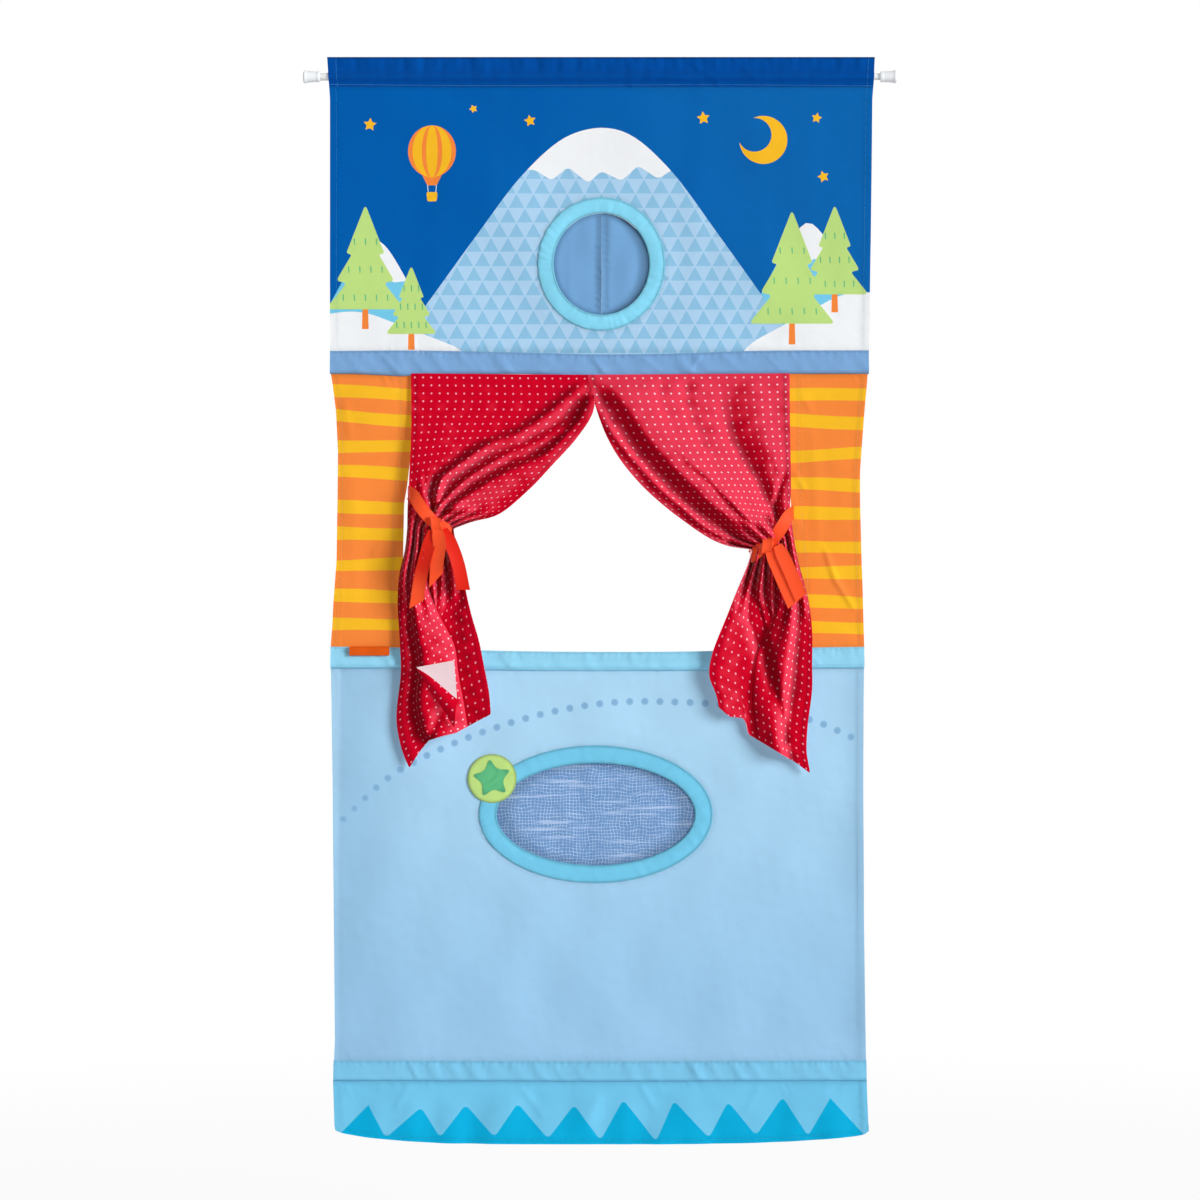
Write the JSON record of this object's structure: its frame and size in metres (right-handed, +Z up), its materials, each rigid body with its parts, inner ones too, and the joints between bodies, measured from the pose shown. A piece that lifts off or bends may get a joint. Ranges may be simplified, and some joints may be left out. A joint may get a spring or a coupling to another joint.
{
  "type": "doorway puppet theatre",
  "caption": "Cloth puppet theatre that hangs in a doorway from a telescopic tension rod, with a curtained stage opening, window flaps and a valance.",
  "frame": {"origin": "middle of the tension rod's axis, halfway between the faces of its two rubber pads", "axes": "+Z up, +X along the rod towards the viewer's right, -Y towards the audience"},
  "size_m": [0.89, 0.0515, 1.6299],
  "materials": {
    "white_enamel": "smooth white enamel on thin steel tube",
    "white_plastic": "satin moulded plastic",
    "pad_rubber": "matt pale rubber",
    "spring_steel": "bright drawn wire",
    "grey_plastic": "plain moulded plastic",
    "birch": "sanded raw birch",
    "night_blue_cloth": "printed plain-weave cotton",
    "window_cyan_cloth": "plain-weave cotton applique",
    "flap_blue_cloth": "plain-weave cotton",
    "header_blue_cloth": "plain-weave cotton",
    "orange_cloth": "printed plain-weave cotton with yellow stripes",
    "red_cloth": "printed plain-weave cotton with small white dots",
    "orange_ribbon": "satin ribbon",
    "sill_blue_cloth": "plain-weave cotton",
    "pale_blue_cloth": "printed plain-weave cotton with dots",
    "pond_blue_cloth": "printed plain-weave cotton with pale lines",
    "lime_cloth": "plain-weave cotton applique",
    "green_cloth": "plain-weave cotton applique",
    "base_blue_cloth": "plain-weave cotton",
    "valance_blue_cloth": "printed plain-weave cotton with a zigzag",
    "label_orange_cloth": "woven tape, blank"
  },
  "bodies": {
    "outer_tube": {"rod_outer_tube": "white_enamel", "spring_seat_plug": "grey_plastic", "tension_spring": "spring_steel"},
    "left_end": {"left_end_cap": "white_plastic", "left_rubber_pad": "pad_rubber", "spring_plunger": "grey_plastic"},
    "lock_plug": {"cam_lock_plug": "grey_plastic"},
    "inner_tube": {"rod_inner_tube": "white_enamel", "right_end_cap": "white_plastic", "right_rubber_pad": "pad_rubber", "inner_tube_bush": "grey_plastic"},
    "banner": {"top_sleeve": "night_blue_cloth", "upper_panel": "night_blue_cloth", "round_window_ring": "window_cyan_cloth", "left_flap_hem": "flap_blue_cloth", "right_flap_hem": "flap_blue_cloth", "stage_header_band": "header_blue_cloth", "sill_band": "sill_blue_cloth", "base_band": "base_blue_cloth", "left_pillar": "orange_cloth", "right_pillar": "orange_cloth", "left_curtain": "red_cloth", "right_curtain": "red_cloth", "left_tie_knot": "orange_ribbon", "left_tie_strap": "orange_ribbon", "right_tie_knot": "orange_ribbon", "right_tie_strap": "orange_ribbon", "lower_panel": "pale_blue_cloth", "oval_window_ring": "window_cyan_cloth", "oval_window_cloth": "pond_blue_cloth", "badge_disc": "lime_cloth", "badge_star": "green_cloth", "side_label": "label_orange_cloth"},
    "left_flap": {"left_window_flap": "flap_blue_cloth"},
    "right_flap": {"right_window_flap": "flap_blue_cloth"},
    "left_tail": {"left_curtain_tail": "red_cloth", "left_tie_end_outer": "orange_ribbon", "left_tie_end_middle": "orange_ribbon", "left_tie_end_inner": "orange_ribbon"},
    "right_tail": {"right_curtain_tail": "red_cloth", "right_tie_end_inner": "orange_ribbon", "right_tie_end_outer": "orange_ribbon"},
    "header_dowel": {"header_dowel": "birch"},
    "sill_dowel": {"sill_dowel": "birch"},
    "base_dowel": {"base_dowel": "birch"},
    "valance": {"valance": "valance_blue_cloth"}
  },
  "joints": [
    {"name": "rod_extend", "type": "slide", "parent": "outer_tube", "child": "lock_plug", "axis": [1, 0, 0], "range_m": [-0.008, 0.2]},
    {"name": "rod_twist_lock", "type": "hinge", "parent": "lock_plug", "child": "inner_tube", "pos_m": [-0.112, 0, 0], "axis": [1, 0, 0], "range_deg": [-120, 0]},
    {"name": "left_cap_press", "type": "slide", "parent": "outer_tube", "child": "left_end", "axis": [1, 0, 0], "range_m": [0, 0.008], "stiffness_N_per_m": 400, "springref_m": -0.008, "deforming": ["tension_spring"]},
    {"name": "banner_swing", "type": "hinge", "parent": "outer_tube", "child": "banner", "pos_m": [0, 0, 0], "axis": [1, 0, 0], "range_deg": [-80, 80]},
    {"name": "left_flap_swing", "type": "hinge", "parent": "banner", "child": "left_flap", "pos_m": [-0.0495, 0.0015, -0.281], "axis": [0, 0, -1], "range_deg": [-70, 70], "stiffness_Nm_per_rad": 0.002},
    {"name": "right_flap_swing", "type": "hinge", "parent": "banner", "child": "right_flap", "pos_m": [0.0539, 0.0015, -0.281], "axis": [0, 0, 1], "range_deg": [-70, 70], "stiffness_Nm_per_rad": 0.002},
    {"name": "header_dowel_slide", "type": "slide", "parent": "banner", "child": "header_dowel", "axis": [1, 0, 0], "range_m": [0, 0.8]},
    {"name": "sill_dowel_slide", "type": "slide", "parent": "banner", "child": "sill_dowel", "axis": [1, 0, 0], "range_m": [0, 0.8]},
    {"name": "base_dowel_slide", "type": "slide", "parent": "banner", "child": "base_dowel", "axis": [1, 0, 0], "range_m": [0, 0.8]},
    {"name": "valance_swing", "type": "hinge", "parent": "banner", "child": "valance", "pos_m": [0, 0, -1.5074], "axis": [1, 0, 0], "range_deg": [-85, 85]},
    {"name": "left_tail_lift", "type": "hinge", "parent": "banner", "child": "left_tail", "pos_m": [-0.24, -0.042, -0.7064], "axis": [-1, 0, 0], "range_deg": [0, 60]},
    {"name": "right_tail_lift", "type": "hinge", "parent": "banner", "child": "right_tail", "pos_m": [0.24, -0.042, -0.7487], "axis": [-1, 0, 0], "range_deg": [0, 60]}
  ]
}
